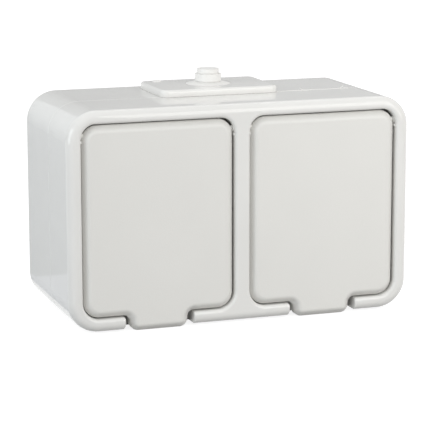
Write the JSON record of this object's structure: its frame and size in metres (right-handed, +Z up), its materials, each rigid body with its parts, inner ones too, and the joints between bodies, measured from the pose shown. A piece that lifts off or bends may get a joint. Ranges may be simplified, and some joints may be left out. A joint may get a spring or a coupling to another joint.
{
  "type": "weatherproof double socket outlet",
  "caption": "Surface-mounted double socket outlet in white plastic with sprung hinged lids, recessed earthed sockets and a cable entry nipple on top.",
  "frame": {"origin": "centre of the flat back face, on the wall", "axes": "+X along the width, to the right seen from the front; +Y into the wall; +Z up"},
  "size_m": [0.147, 0.066, 0.1001],
  "materials": {
    "block": "dull grey moulding",
    "brass": "bright strip brass",
    "entry": "glossy white plastic",
    "housing": "glossy moulded white plastic",
    "lid": "fine spark-textured white plastic",
    "nickel": "nickel-plated strip",
    "nipple": "soft white thermoplastic",
    "seal": "soft grey rubber",
    "steel": "zinc-plated steel",
    "well": "satin white plastic"
  },
  "bodies": {
    "housing": {"block_screws": "steel", "box_seal": "seal", "cable_nipple": "nipple", "earth_busbar": "nickel", "entry_plate": "entry", "front_cover": "housing", "left_centre_screw": "steel", "left_contact_block": "block", "left_earth_strap": "nickel", "left_line_contact": "brass", "left_neutral_contact": "brass", "left_socket_well": "well", "line_busbar": "brass", "neutral_busbar": "brass", "rear_box": "housing", "right_centre_screw": "steel", "right_contact_block": "block", "right_earth_strap": "nickel", "right_line_contact": "brass", "right_neutral_contact": "brass", "right_socket_well": "well", "terminal_clamps": "steel", "terminal_screws": "steel"},
    "left_lid": {"left_lid": "lid", "left_lid_seal": "seal", "left_lid_spring": "steel", "left_spring_pin": "steel"},
    "right_lid": {"right_lid": "lid", "right_lid_seal": "seal", "right_lid_spring": "steel", "right_spring_pin": "steel"}
  },
  "joints": [
    {"name": "left_lid_hinge", "type": "hinge", "parent": "housing", "child": "left_lid", "pos_m": [-0.0355, -0.0626, 0.03515], "axis": [-1, 0, 0], "range_deg": [0, 95], "stiffness_Nm_per_rad": 0.012, "springref_deg": -57.3, "deforming": ["left_lid_spring"]},
    {"name": "right_lid_hinge", "type": "hinge", "parent": "housing", "child": "right_lid", "pos_m": [0.0355, -0.0626, 0.03515], "axis": [-1, 0, 0], "range_deg": [0, 95], "stiffness_Nm_per_rad": 0.012, "springref_deg": -57.3, "deforming": ["right_lid_spring"]}
  ]
}
